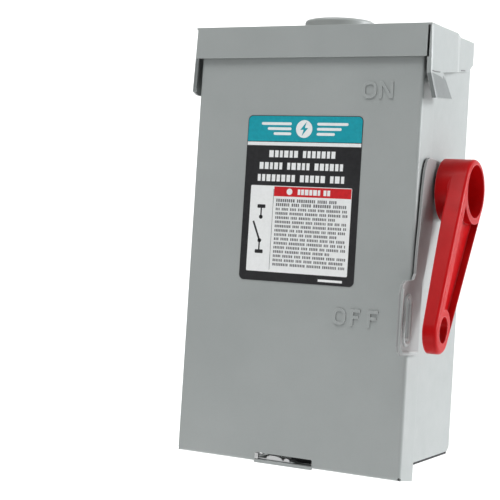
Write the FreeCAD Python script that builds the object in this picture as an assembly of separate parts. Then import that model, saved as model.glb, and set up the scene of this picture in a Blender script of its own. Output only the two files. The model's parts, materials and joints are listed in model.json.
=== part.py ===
"""Outdoor AC disconnect: a side-operated two-pole fusible safety switch in a rain-tight steel box.

Frame: X to the right, Y from the cover towards the wall, Z up, in millimetres.
The origin is the centre of the back face that lies on the wall.
Most places are given as (x, depth, height): depth is measured back from the
cover's front face and height up from the cover's bottom edge.
"""
import FreeCAD, Part
import math
import os

V = FreeCAD.Vector
os.makedirs("parts", exist_ok=True)

# ---------------------------------------------------------------- driving dimensions
DEPTH = 108.6            # wall to cover face
MID_HEIGHT = 160.0       # height of the origin above the cover's bottom edge
SHEET = 1.5              # steel of box, hood and cover

COVER_HALF = 87.25       # half width of the cover
COVER_TOP = 292.5        # height of the cover's top edge, under the hood
COVER_FLANGE = 24.8      # how far the cover's side flanges reach back
BEND = 2.2               # outside bend radius

WALL_HALF = 85.2         # half width of the box over its side walls
BOX_BOTTOM = 7.2
SIDE_BOTTOM = 9.1        # the side walls stop a little above the floor's underside
BACK_BEND = 1.2          # outside bend radius of the wrapper
BOX_TOP = 311.0
WALL_FRONT = 3.0         # depth of the side walls' front edge
CORNER_CUT = (5.0, 3.6)  # depth and height of the slanted corner at the bottom of the back
NOTCH_HEIGHT = 277.0     # above this the side walls are cut back for the swinging cover
NOTCH_DEPTH = 31.0

HOOD_FRONT = -3.0        # the hood's front flange stands before the cover
HOOD_TOP = 312.6         # at the front edge
HOOD_SLOPE = 2.4         # degrees, rising to the back
FLANGE_BOTTOM = 289.8
EAR_FRONT = -2.6
RIGHT_EAR = (92.5, 93.7)  # distance of each ear's outer face from the middle: at the top and
LEFT_EAR = (91.6, 92.6)   # at the low level
EAR_LEVELS = (HOOD_TOP, 279.5)
EAR_LIP = 3.4             # width of the ears' bent front edge
EAR_REAR_HALF = 86.9
EAR_JOGGLE = (53.0, 76.0)  # depths between which the ears step in to the side walls
EAR_EDGE = ((HOOD_FRONT, 278.0), (21.9, 281.9), (93.4, 293.1), (98.0, 293.9), (DEPTH, 300.2))
TAB_END = (98.3, 260.9)   # outer face and height of the right tab's lower front corner
TAB_END_REAR = (99.3, 263.8, 27.5)  # outer face, height and depth of its lower rear corner

HINGE = (10.0, 276.0)    # depth and height of the cover's hinge line
HINGE_PIN_R = 2.2

SHAFT = (45.0, 201.0)    # depth and height of the handle's shaft
SHAFT_R = 5.0
RUNNING = 0.05           # radial running clearance
HUB_R = 22.6
HUB_BACK, HUB_FACE = 92.0, 114.8
LEVER_BACK, LEVER_TIP_BACK = 101.7, 105.6
LEVER_LENGTH = 112.5
LEVER_ANGLE = 29.2       # degrees forward of straight down, handle OFF
TIP_R = 13.9
THROW = 120.0            # handle travel, degrees

BUSH_R = 8.0             # bearing of the shaft in the side wall
RIVET_R = 1.9
BRACKET_T = 1.9
BRACKET_OUT = 3.2        # how far the bracket's front half stands off the side wall
HOOK_REACH = 36.0        # length of the interlock arm from the shaft's centre
ARM_X = (76.4, 78.0)

HUB_OPENING_DEPTH = 52.0
HUB_OPENING_R = 21.0
CAP_R = 26.0
KNOCKOUT_R = 14.2

LATCH_SLOT_X = (-23.5, 21.5)
LATCH_TRAVEL = 14.0
LATCH_RIVET_X = (-7.0, 2.0)
LATCH_RIVET_DEPTH = 21.7
LATCH_STRIP = (17.8, 24.5)  # depth of the sliding strip

POLES = (-22.0, 22.0)    # x of the two poles
BASE_FRONT = 84.0        # depth of the front of the moulded bases
BACK_INSIDE = DEPTH - SHEET
BLADE_T, BLADE_W, BLADE_HALF = 3.0, 12.0, 33.0
FUSE_DEPTH, FUSE_LOW, FUSE_LENGTH = 66.0, 78.0, 50.8
FERRULE_R, FERRULE_LENGTH, TUBE_R = 7.15, 12.7, 6.75
LUG_HALF, LUG_BORE_R = 8.0, 3.6
CHEEK_X = (46.0, 50.0)   # bearing cheeks of the switch base
JOURNAL_R = 8.0
JAW_GAP, JAW_T = 1.8, 1.5
LINE_LUGS = (246.0, 262.0)
LOAD_LUGS = (53.0, 69.0)
LUG_DEPTH = 75.0

MOUNT_HALF_X, MOUNT_HALF_Z, MOUNT_HOLE_R = 63.5, 127.0, 3.6


# ---------------------------------------------------------------- helpers
def at(x, depth, height):
    """Point from x, depth behind the cover face and height above the cover's bottom edge."""
    return V(x, depth - DEPTH, height - MID_HEIGHT)


def box(x, depth, height):
    """Block from three (low, high) pairs."""
    return Part.makeBox(x[1] - x[0], depth[1] - depth[0], height[1] - height[0],
                        at(x[0], depth[0], height[0]))


def rod_x(r, x, depth, height):
    return Part.makeCylinder(r, x[1] - x[0], at(x[0], depth, height), V(1, 0, 0))


def rod_y(r, x, depth, height):
    return Part.makeCylinder(r, depth[1] - depth[0], at(x, depth[0], height), V(0, 1, 0))


def rod_z(r, x, depth, height):
    return Part.makeCylinder(r, height[1] - height[0], at(x, depth, height[0]), V(0, 0, 1))


def outline(points):
    return Part.Wire(Part.makePolygon(list(points) + [points[0]]).Edges)


def side_plate(points, x):
    """Prism along X from an outline of (depth, height) points."""
    face = Part.Face(outline([at(x[0], d, h) for d, h in points]))
    return face.extrude(V(x[1] - x[0], 0, 0))


def plan_plate(points, height):
    """Prism along Z from an outline of (x, depth) points."""
    face = Part.Face(outline([at(px, d, height[0]) for px, d in points]))
    return face.extrude(V(0, 0, height[1] - height[0]))


def front_plate(points, depth):
    """Prism along Y from an outline of (x, height) points."""
    face = Part.Face(outline([at(px, depth[0], h) for px, h in points]))
    return face.extrude(V(0, depth[1] - depth[0], 0))


def join(shapes):
    result = shapes[0]
    for shape in shapes[1:]:
        result = result.fuse(shape)
    return result.removeSplitter()


def mirrored(shape):
    return shape.mirror(V(0, 0, 0), V(1, 0, 0))


def both_sides(shape):
    return [shape, mirrored(shape)]


def edges_where(shape, test):
    return [e for e in shape.Edges if all(test(v.Point) for v in e.Vertexes) and len(e.Vertexes) == 2]


def near(a, b, tol=1e-4):
    return abs(a - b) < tol


def slot_x(x, r, start, end):
    """Round-ended slot cutter along X between two (depth, height) points."""
    dd, dh = end[0] - start[0], end[1] - start[1]
    length = math.hypot(dd, dh)
    nd, nh = -dh / length * r, dd / length * r
    corners = [(start[0] + nd, start[1] + nh), (end[0] + nd, end[1] + nh),
               (end[0] - nd, end[1] - nh), (start[0] - nd, start[1] - nh)]
    ends = [rod_x(r, x, *start), rod_x(r, x, *end)]
    return join([side_plate(corners, x)] + ends)


def teardrop(x, big, big_r, small, small_r):
    """Prism along X: two circles in the YZ plane and their outer tangents."""
    dd, dh = small[0] - big[0], small[1] - big[1]
    length = math.hypot(dd, dh)
    heading = math.atan2(dh, dd)
    spread = math.acos((big_r - small_r) / length)
    corners = []
    for centre, r, sides in ((big, big_r, (1, -1)), (small, small_r, (-1, 1))):
        for side in sides:
            a = heading + side * spread
            corners.append((centre[0] + r * math.cos(a), centre[1] + r * math.sin(a)))
    return join([side_plate(corners, x), rod_x(big_r, x, *big), rod_x(small_r, x, *small)])


def tilted(shape):
    """Turn a piece that was drawn on a level hood top onto its slope."""
    turned = shape.copy()
    turned.rotate(at(0, HOOD_FRONT, HOOD_TOP), V(1, 0, 0), HOOD_SLOPE)
    return turned


def turned_about_shaft(shape, degrees):
    turned = shape.copy()
    turned.rotate(at(0, *SHAFT), V(1, 0, 0), degrees)
    return turned


def save(name, *shapes):
    shape = shapes[0] if len(shapes) == 1 else Part.makeCompound(list(shapes))
    for solid in shape.Solids:
        if not solid.isValid() or solid.Volume < 1.0:
            print("check the solid of", name, solid.Volume)
    shape.exportStep("parts/" + name + ".step")
    return shape


# ---------------------------------------------------------------- box
def enclosure_wrapper():
    """Back and side walls, folded from one sheet."""
    block = box((-WALL_HALF, WALL_HALF), (WALL_FRONT, DEPTH), (SIDE_BOTTOM, BOX_TOP))
    back_edges = edges_where(block, lambda p: near(p.y, 0) and near(abs(p.x), WALL_HALF))
    block = block.makeFillet(BACK_BEND, back_edges)
    inside = WALL_HALF - SHEET
    hollow = box((-inside, inside), (WALL_FRONT - 1, BACK_INSIDE), (BOX_BOTTOM - 1, BOX_TOP + 1))
    shell = block.cut(hollow)
    cut_depth, cut_height = CORNER_CUT
    low_corner = [(DEPTH + 1, SIDE_BOTTOM - 1), (DEPTH - cut_depth, SIDE_BOTTOM - 1),
                  (DEPTH - cut_depth, SIDE_BOTTOM), (DEPTH, SIDE_BOTTOM + cut_height),
                  (DEPTH + 1, SIDE_BOTTOM + cut_height)]
    wide = (-WALL_HALF - 1, WALL_HALF + 1)
    shell = shell.cut(side_plate(low_corner, wide))
    shell = shell.cut(box(wide, (0, NOTCH_DEPTH), (NOTCH_HEIGHT, BOX_TOP + 1)))
    shell = shell.cut(rod_x(BUSH_R, (inside - 1, WALL_HALF + 1), *SHAFT))
    for rivet in bracket_rivet_places():
        shell = shell.cut(rod_x(RIVET_R, (inside - 1, WALL_HALF + 1), *rivet))
    for x in (-MOUNT_HALF_X, MOUNT_HALF_X):
        for h in (MID_HEIGHT - MOUNT_HALF_Z, MID_HEIGHT + MOUNT_HALF_Z):
            shell = shell.cut(rod_y(MOUNT_HOLE_R, x, (BACK_INSIDE - 1, DEPTH + 1), h))
    return shell.cut(rod_y(KNOCKOUT_R, *back_knockout(BACK_INSIDE - 1, DEPTH + 1)))


def ear_section(half, height):
    """Plan outline of an ear: bent front lip, wide in front, joggled in to lie on the side wall."""
    start, end = EAR_JOGGLE
    front, back = EAR_FRONT, EAR_FRONT + SHEET
    points = [(half - EAR_LIP, front), (half - 1.7, front), (half - 0.5, front + 0.5),
              (half, front + 1.7), (half, start), (EAR_REAR_HALF, end), (EAR_REAR_HALF, DEPTH),
              (WALL_HALF + 0.05, DEPTH), (WALL_HALF + 0.05, end + 0.8), (half - SHEET, start - 0.4),
              (half - SHEET, back + 0.6), (half - SHEET - 0.6, back), (half - EAR_LIP, back)]
    return outline([at(x, d, height) for x, d in points])


def ear(halves, edge):
    """A side of the hood, cut along its lower edge, a list of (depth, height)."""
    over, low = 320.0, 262.0
    sections = [ear_section(ear_half(halves, over), over), ear_section(ear_half(halves, low), low)]
    plate = Part.makeLoft(sections, True, True)
    return plate.common(side_plate(list(edge) + [(DEPTH, over), (HOOD_FRONT, over)], (80.0, 100.0)))


def ear_half(halves, height):
    """Outer half width of an ear at a height; the ears lean outwards going down."""
    top, low = EAR_LEVELS
    return halves[0] + (halves[1] - halves[0]) * (top - height) / (top - low)


def bent_tab():
    """Right ear only: below the slanted bend line a tab with the same front lip flares outwards."""
    def section(front_corner, rear_corner, front, rear):
        def point(inward, depth):
            share = (depth - front) / (rear - front)
            x, height = [a + (b - a) * share for a, b in zip(front_corner, rear_corner)]
            return at(x - inward, depth, height)
        back = front + SHEET
        return outline([point(EAR_LIP, front), point(1.7, front), point(0.5, front + 0.5),
                        point(0.0, front + 1.7), point(0.0, rear), point(SHEET, rear),
                        point(SHEET, back + 0.6), point(SHEET + 0.6, back), point(EAR_LIP, back)])
    (front, low), (rear, high) = EAR_EDGE[0], EAR_EDGE[1]
    corners = [(ear_half(RIGHT_EAR, h), h + 0.3) for h in (low, high)]
    top = section(corners[0], corners[1], EAR_FRONT, rear)
    bottom = section(TAB_END, TAB_END_REAR[:2], EAR_FRONT, TAB_END_REAR[2])
    return Part.makeLoft([top, bottom], True, True)


def hood():
    """Top of the box with its front flange, two ears and a flange down the back."""
    right = ear(RIGHT_EAR, EAR_EDGE)
    room = box((80.0, 91.2), (HOOD_FRONT - 1, EAR_FRONT + SHEET + 0.1), (FLANGE_BOTTOM - 0.6, 330))
    right = right.cut(room)
    right = right.fuse(bent_tab())
    left_edge = ((HOOD_FRONT, 269.0), (-1.2, 265.2), (4.0, 263.2), (22.0, 263.2)) + EAR_EDGE[1:]
    left = mirrored(ear(LEFT_EAR, left_edge))
    plan = []
    for halves, side in ((RIGHT_EAR, 1), (LEFT_EAR, -1)):
        half = [(halves[0], HOOD_FRONT), (halves[0], EAR_JOGGLE[0]), (EAR_REAR_HALF, EAR_JOGGLE[1]),
                (EAR_REAR_HALF, DEPTH)]
        plan = plan + [(side * x, d) for x, d in half[::side]]
    top = tilted(plan_plate(plan, (HOOD_TOP - SHEET, HOOD_TOP)))
    above = tilted(box((-100, 100), (-20, DEPTH + 20), (HOOD_TOP, HOOD_TOP + 20)))
    flange = front_plate([(-90.4, HOOD_TOP - 0.2), (89.6, HOOD_TOP - 0.2), (89.6, FLANGE_BOTTOM),
                          (-91.0, FLANGE_BOTTOM)], (HOOD_FRONT, HOOD_FRONT + SHEET))
    back = box((-83.4, 83.4), (BACK_INSIDE - SHEET - 0.1, BACK_INSIDE - 0.1), (296.0, 316.4))
    shell = join([top, right, left, flange, back]).cut(above)
    return shell.cut(tilted(rod_z(HUB_OPENING_R, 0, HUB_OPENING_DEPTH, (HOOD_TOP - 5, HOOD_TOP + 5))))


def bottom_endwall():
    """Floor of the box, with flanges and a lanced keeper for the cover latch."""
    low, up = BOX_BOTTOM, BOX_BOTTOM + SHEET
    rear = BACK_INSIDE - 0.1
    slant = DEPTH - CORNER_CUT[0]
    rise = low + CORNER_CUT[1]
    profile = [(4.0, 17.0), (4.0, low), (slant, low), (rear, rise), (rear, 22.0), (rear - SHEET, 22.0),
               (rear - SHEET, rise + 0.7), (slant - 0.6, up), (4.0 + SHEET, up), (4.0 + SHEET, 17.0)]
    inside = WALL_HALF - SHEET - 0.1
    floor = side_plate(profile, (-inside, inside))
    cheek = side_plate([(6.0, low), (slant, low), (rear, rise), (rear, 20.0), (6.0, 20.0)],
                       (inside - SHEET, inside))
    floor = join([floor] + both_sides(cheek))
    for x, d in floor_knockouts():
        floor = floor.cut(rod_z(KNOCKOUT_R, x, d, (low - 1, up + 1)))
    return floor


def latch_keeper():
    """Small angle under the floor that the cover latch slides behind."""
    tab = box((6.5, 14.5), (15.0, 16.5), (3.7, BOX_BOTTOM))
    foot = box((6.5, 14.5), (9.0, 16.5), (BOX_BOTTOM - SHEET, BOX_BOTTOM))
    return join([tab, foot])


def floor_knockouts():
    return [(-38.0, 58.0), (38.0, 58.0)]


def back_knockout(front, rear):
    return 0.0, (front, rear), 37.5


def knockouts():
    """Stamped slugs that fill the conduit openings."""
    r = KNOCKOUT_R - 0.15
    slugs = [rod_z(r, x, d, (BOX_BOTTOM, BOX_BOTTOM + SHEET)) for x, d in floor_knockouts()]
    rims = [rod_z(r - 4, x, d, (BOX_BOTTOM - 0.4, BOX_BOTTOM + 0.4)) for x, d in floor_knockouts()]
    slugs = [slug.fuse(rim) for slug, rim in zip(slugs, rims)]
    return slugs + [rod_y(r, *back_knockout(BACK_INSIDE, DEPTH))]


# ---------------------------------------------------------------- hub closure on the hood
def hub_cap():
    base = rod_z(CAP_R + 2.5, 0, HUB_OPENING_DEPTH, (HOOD_TOP + 0.8, HOOD_TOP + 2.6))
    dome = rod_z(CAP_R, 0, HUB_OPENING_DEPTH, (HOOD_TOP + 2.0, HOOD_TOP + 10.3))
    top_rim = edges_where_circle(dome, HOOD_TOP + 10.3)
    dome = dome.makeFillet(2.4, top_rim)
    boss = rod_z(6.0, 0, HUB_OPENING_DEPTH, (HOOD_TOP - 5.0, HOOD_TOP + 3.0))
    thread = rod_z(2.0, 0, HUB_OPENING_DEPTH, (HOOD_TOP - 6.0, HOOD_TOP + 4.0))
    return tilted(join([base, dome, boss]).cut(thread))


def edges_where_circle(shape, height):
    return [e for e in shape.Edges if near(e.BoundBox.ZMin, height - MID_HEIGHT)
            and near(e.BoundBox.ZMax, height - MID_HEIGHT)]


def hub_gasket():
    ring = rod_z(CAP_R + 1.5, 0, HUB_OPENING_DEPTH, (HOOD_TOP, HOOD_TOP + 0.8))
    return tilted(ring.cut(rod_z(HUB_OPENING_R, 0, HUB_OPENING_DEPTH, (HOOD_TOP - 1, HOOD_TOP + 2))))


def hub_clamp_bar():
    d = HUB_OPENING_DEPTH
    bar = box((-30, 30), (d - 7, d + 7), (HOOD_TOP - 7.0, HOOD_TOP - 5.0))
    feet = [box(x, (d - 7, d + 7), (HOOD_TOP - 7.0, HOOD_TOP - SHEET)) for x in ((-30, -28), (28, 30))]
    hole = rod_z(2.3, 0, d, (HOOD_TOP - 8, HOOD_TOP - 4))
    return tilted(join([bar] + feet).cut(hole))


def hub_clamp_screw():
    head = rod_z(4.2, 0, HUB_OPENING_DEPTH, (HOOD_TOP - 10.0, HOOD_TOP - 7.0))
    shank = rod_z(2.0, 0, HUB_OPENING_DEPTH, (HOOD_TOP - 7.5, HOOD_TOP + 3.0))
    return tilted(join([head, shank]))


# ---------------------------------------------------------------- cover
def letter_bars(kind, x, low):
    """One raised capital, built from straight strokes or a ring, x = (left, right)."""
    cap, stroke, relief = 11.5, 2.0, (-0.8, 0.2)
    left, right = x
    top = low + cap
    upright = box((left, left + stroke), relief, (low, top))
    if kind == "N":
        slant = [(left, top), (left + stroke * 1.2, top), (right, low), (right - stroke * 1.2, low)]
        return [upright, box((right - stroke, right), relief, (low, top)), front_plate(slant, relief)]
    if kind == "F":
        return [upright, box((left, right), relief, (top - stroke, top)),
                box((left, right - 1.2), relief, (low + 5.0, low + 5.0 + stroke))]
    ring = rounded_front(x, relief, (low, top), 4.4)
    inner = rounded_front((left + stroke, right - stroke), (-2, 2), (low + stroke, top - stroke), 2.4)
    return [ring.cut(inner)]


def rounded_front(x, depth, height, r):
    """Block with its four edges along Y rounded."""
    block = box(x, depth, height)
    along = [e for e in block.Edges if near(e.BoundBox.XLength, 0) and near(e.BoundBox.ZLength, 0)]
    return block.makeFillet(r, along)


def raised_words():
    strokes = []
    for kind, x, low in (("O", (43.2, 53.7), 261.0), ("N", (55.8, 66.0), 261.0),
                         ("O", (31.0, 40.6), 102.2), ("F", (44.3, 51.4), 102.2),
                         ("F", (57.0, 64.6), 102.2)):
        strokes = strokes + letter_bars(kind, x, low)
    return strokes


def cover():
    """Front pan: face, side flanges, bottom flange; hooks over the hinge pins by slanted slots."""
    half, inner = COVER_HALF, COVER_HALF - SHEET
    block = box((-half, half), (0, COVER_FLANGE), (0, COVER_TOP))
    bends = edges_where(block, lambda p: near(p.y, -DEPTH) and near(abs(p.x), half))
    bends = bends + edges_where(block, lambda p: near(p.y, -DEPTH) and near(p.z, -MID_HEIGHT))
    block = block.makeFillet(BEND, bends)
    pan = block.cut(box((-inner, inner), (SHEET, COVER_FLANGE + 1), (SHEET, COVER_TOP + 1)))
    wide = (-half - 1, half + 1)
    pan = pan.cut(side_plate([(9.0, COVER_TOP + 1), (9.0, COVER_TOP), (COVER_FLANGE, 284.0),
                              (COVER_FLANGE + 1, 284.0), (COVER_FLANGE + 1, COVER_TOP + 1)], wide))
    slot_end = (HINGE[0] + 17.7, HINGE[1] - 3.0)
    pan = pan.cut(slot_x(wide, HINGE_PIN_R + RUNNING, HINGE, slot_end))
    pan = pan.cut(rounded_front(LATCH_SLOT_X, (-1, SHEET + 1), (1.3, 6.2), 1.0))
    pan = pan.cut(box((-17.0, 5.0), (3.0, 8.2), (-1, SHEET + 1)))
    for x in (-half + 1.0, half - 1.0):
        pan = pan.cut(rod_y(1.1, x, (-1, 5.0), 1.2))
    lip = box(LATCH_SLOT_X, (-0.7, 1.0), (-0.9, 1.3))
    skirt = side_plate([(BEND, 0.2), (COVER_FLANGE, -2.9), (COVER_FLANGE, 3.0), (BEND, 3.0)], (inner, half))
    pan = join([pan, lip] + both_sides(skirt) + raised_words())
    for x in LATCH_RIVET_X:
        pan = pan.cut(rod_z(1.5, x, LATCH_RIVET_DEPTH, (-1, SHEET + 1)))
    return pan


def cover_label():
    return rounded_front((-45.0, 45.0), (-0.3, 0.0), (128.8, 248.1), 3.6)


def wiring_label():
    """Printed sheet on the inside of the cover."""
    return rounded_front((-40.0, 40.0), (SHEET, SHEET + 0.25), (120.0, 200.0), 2.0)


def interlock_catch():
    """Angle inside the cover that the interlock arm hooks in front of when the switch is ON."""
    foot = box((54.0, 70.0), (SHEET, 3.0), (192.0, 210.0))
    web = box((68.5, 70.0), (SHEET, 16.0), (192.0, 210.0))
    tab = box((68.5, 75.0), (14.5, 16.0), (194.0, 208.0))
    return join([foot, web, tab])


def hinge_pins():
    """Stub pins on the inner faces of the ears."""
    left_inner = ear_half(LEFT_EAR, HINGE[1]) - SHEET
    right_inner = ear_half(RIGHT_EAR, EAR_EDGE[0][1]) - SHEET
    right = rod_x(HINGE_PIN_R, (WALL_HALF + 0.1, right_inner + 0.2), *HINGE)
    left = rod_x(HINGE_PIN_R, (-left_inner + 0.2, -WALL_HALF - 0.1), *HINGE)
    return [right, left]


# ---------------------------------------------------------------- cover latch
def latch_slide():
    """Plated strip behind the cover's bottom edge; its finger tab shows in the slot."""
    low, up = 1.9, 3.1
    strip = box((-26.0, 5.8), LATCH_STRIP, (low, up))
    arm = box((-23.1, -20.3), (0.4, LATCH_STRIP[0] + 1), (low, up))
    finger = box((-23.1, -20.3), (-0.6, 2.2), (low, 5.9))
    bolt = box((-8.0, 0.5), (LATCH_STRIP[0], LATCH_STRIP[0] + 1.2), (low, 6.5))
    strip = join([strip, arm, finger, bolt])
    room = 1.8
    slot = box((LATCH_RIVET_X[0] - LATCH_TRAVEL - room, LATCH_RIVET_X[1] + room),
               (LATCH_RIVET_DEPTH - room, LATCH_RIVET_DEPTH + room), (low - 1, up + 1))
    return strip.cut(slot)


def latch_rivets():
    rivets = []
    for x in LATCH_RIVET_X:
        shank = rod_z(1.5, x, LATCH_RIVET_DEPTH, (0.2, 3.5))
        head = rod_z(2.3, x, LATCH_RIVET_DEPTH, (3.4, 4.4))
        rivets.append(join([shank, head]))
    return rivets


# ---------------------------------------------------------------- handle side
def along_lever(distance):
    """(depth, height) of a point on the lever's centre line, handle OFF."""
    a = math.radians(LEVER_ANGLE)
    return SHAFT[0] - distance * math.sin(a), SHAFT[1] - distance * math.cos(a)


def lever_across():
    """Unit vector across the lever, towards the wall the box hangs on."""
    a = math.radians(LEVER_ANGLE)
    return V(0, math.cos(a), -math.sin(a))


def lever_wedge():
    """Cutter that thins the lever from behind towards its tip."""
    half = lever_across() * 40.0
    corners = [(LEVER_BACK - 1, HUB_R), (LEVER_BACK, HUB_R), (LEVER_TIP_BACK, 130.0), (LEVER_BACK - 1, 130.0)]
    face = Part.Face(outline([at(x, *along_lever(t)) - half for x, t in corners]))
    return face.extrude(half * 2)


def handle():
    """Moulded red handle: cupped hub, channelled lever and a padlock hole at the tip."""
    tip = along_lever(LEVER_LENGTH)
    lever = teardrop((LEVER_BACK, HUB_FACE), SHAFT, HUB_R, tip, TIP_R).Solids[0]
    for level, radius in ((HUB_FACE, 2.6), (LEVER_BACK, 1.6)):
        rim = [e for e in lever.Edges
               if near(e.BoundBox.XMin, level, 1e-3) and near(e.BoundBox.XMax, level, 1e-3)]
        lever = lever.makeFillet(radius, rim)
    body = join([lever.cut(lever_wedge()), rod_x(HUB_R, (HUB_BACK, HUB_FACE - 3.0), *SHAFT)])
    cup = rod_x(HUB_R - 3.8, (100.0, HUB_FACE + 1), *SHAFT)
    rim, shift = 5.2, 2.7
    groove = teardrop((109.6, HUB_FACE + 1), SHAFT, HUB_R - rim, tip, TIP_R - rim)
    groove.translate(lever_across() * shift)
    groove = groove.cut(rod_x(HUB_R + 0.6, (105.0, HUB_FACE + 2), *SHAFT))
    groove = groove.cut(slot_x((105.0, HUB_FACE + 2), 11.5, along_lever(107.2), along_lever(135.0)))
    hole = slot_x((LEVER_BACK - 1, HUB_FACE + 1), 7.6, along_lever(108.3), along_lever(111.3))
    socket = rod_x(SHAFT_R, (HUB_BACK - 1, 98.0), *SHAFT)
    return body.cut(cup).cut(groove).cut(hole).cut(socket)


def handle_shaft():
    shaft = rod_x(SHAFT_R, (37.5, 98.0), *SHAFT)
    groove = rod_x(SHAFT_R + 1, (78.4, 79.4), *SHAFT).cut(rod_x(SHAFT_R - 0.8, (78, 80), *SHAFT))
    return shaft.cut(groove)


def shaft_clip():
    ring = rod_x(SHAFT_R + 2.4, (78.5, 79.3), *SHAFT).cut(rod_x(SHAFT_R - 0.8, (78, 80), *SHAFT))
    gap = box((78, 80), (SHAFT[0] - 2.5, SHAFT[0] + 2.5), (SHAFT[1], SHAFT[1] + 12))
    return ring.cut(gap)


def shaft_bush():
    body = rod_x(BUSH_R, (79.9, 91.2), *SHAFT)
    collar = rod_x(BUSH_R + 3.0, (WALL_HALF + BRACKET_T, 91.2), *SHAFT)
    bore = rod_x(SHAFT_R + RUNNING, (79, 93), *SHAFT)
    return join([body, collar]).cut(bore)


def bush_nut():
    corner = 13.0
    d, h = SHAFT
    hexagon = [(d + corner * math.cos(math.radians(60 * k)), h + corner * math.sin(math.radians(60 * k)))
               for k in range(6)]
    nut = side_plate(hexagon, (WALL_HALF - SHEET - 3.6, WALL_HALF - SHEET))
    return nut.cut(rod_x(BUSH_R, (70, 90), *SHAFT))


def bracket_rivet_places():
    return [(62.0, 190.0), (62.0, 212.0)]


def lock_bracket():
    """Steel plate on the side wall: joggled out over the cover's flange, with a padlock slot in front."""
    foot, out = WALL_HALF, WALL_HALF + BRACKET_OUT
    plan = [(out + BRACKET_T, -30.0), (out + BRACKET_T, 27.6), (foot + BRACKET_T, 33.0),
            (foot + BRACKET_T, 72.0), (foot, 72.0), (foot, 32.2), (out, 26.8), (out, -30.0)]
    sheet = plan_plate(plan, (80.0, 225.0))
    rim = [(70.0, 221.5), (14.5, 221.5), (10.6, 219.6), (6.8, 212.0), (4.7, 198.0), (2.8, 173.5),
           (0.8, 157.0), (0.0, 141.0), (-3.5, 137.0), (-19.0, 136.0), (-23.6, 133.6), (-26.0, 128.0),
           (-26.2, 93.0), (-24.2, 88.6), (-19.6, 86.5), (13.4, 85.3), (13.6, 136.0), (17.0, 141.0),
           (29.0, 178.0), (34.0, 180.0), (70.0, 180.0)]
    plate = sheet.common(side_plate(rim, (80.0, 95.0)))
    plate = plate.cut(slot_x((80, 95), 5.0, (-12.3, 99.5), (-12.3, 120.0)))
    plate = plate.cut(rod_x(BUSH_R, (80, 95), *SHAFT))
    for rivet in bracket_rivet_places():
        plate = plate.cut(rod_x(RIVET_R, (80, 95), *rivet))
    return plate


def bracket_rivets():
    rivets = []
    for d, h in bracket_rivet_places():
        shank = rod_x(RIVET_R, (WALL_HALF - SHEET - 1.0, WALL_HALF + BRACKET_T + 1.0), d, h)
        heads = [rod_x(3.4, (WALL_HALF + BRACKET_T, WALL_HALF + BRACKET_T + 1.3), d, h),
                 rod_x(3.2, (WALL_HALF - SHEET - 1.2, WALL_HALF - SHEET), d, h)]
        rivets.append(join([shank] + heads))
    return rivets


def interlock_arm():
    """Arm on the shaft, drawn pointing forward as with the handle ON, then turned back to OFF."""
    d, h = SHAFT
    plate = rod_x(9.0, ARM_X, *SHAFT).fuse(box(ARM_X, (d - HOOK_REACH, d), (h - 4.5, h + 4.5)))
    return turned_about_shaft(plate.removeSplitter().cut(rod_x(SHAFT_R, (70, 80), *SHAFT)), THROW)


def interlock_hook():
    """Tongue welded to the arm's end, which passes in front of the cover's catch."""
    d, h = SHAFT
    tongue = box((71.0, ARM_X[0]), (d - HOOK_REACH, d - HOOK_REACH + 1.6), (h - 4.0, h + 4.0))
    return turned_about_shaft(tongue, THROW)


def drive_spring():
    """Envelope of the over-centre torsion spring on the shaft."""
    return rod_x(7.9, (54.0, 76.1), *SHAFT).cut(rod_x(SHAFT_R, (53, 77), *SHAFT))


# ---------------------------------------------------------------- switch
def pole_blades():
    half_t, half_w = BLADE_T / 2, BLADE_W / 2
    return [box((x - half_t, x + half_t), (SHAFT[0] - BLADE_HALF, SHAFT[0] + BLADE_HALF),
                (SHAFT[1] - half_w, SHAFT[1] + half_w)) for x in POLES]


def rotor():
    """Moulded crossbar that carries the blades."""
    bar = rod_x(11.0, (-44.0, 44.0), *SHAFT)
    journals = rod_x(JOURNAL_R, (-50.5, 50.5), *SHAFT)
    discs = [rod_x(16.0, (x - 0.9, x + 0.9), *SHAFT) for x in (-34, -10, 10, 34)]
    body = join([bar, journals] + discs)
    for blade in pole_blades():
        body = body.cut(blade)
    return body.cut(rod_x(SHAFT_R + RUNNING, (37.0, 52.0), *SHAFT))


def base_screw_places():
    return [(x, h) for x in (-39.0, 39.0) for h in (146.0, 256.0)]


def fuse_base_screw_places():
    return [(x, h) for x in (-40.0, 40.0) for h in (62.0, 128.0)]


def screws_into_back(places):
    """Round-head screws through a moulded base into the back wall."""
    result = []
    for x, h in places:
        head = rod_y(4.0, x, (BASE_FRONT - 2.4, BASE_FRONT), h)
        head = head.cut(box((x - 3.2, x + 3.2), (BASE_FRONT - 3.0, BASE_FRONT - 1.4), (h - 0.5, h + 0.5)))
        result.append(join([head, rod_y(2.1, x, (BASE_FRONT, BACK_INSIDE), h)]))
    return result


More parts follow.
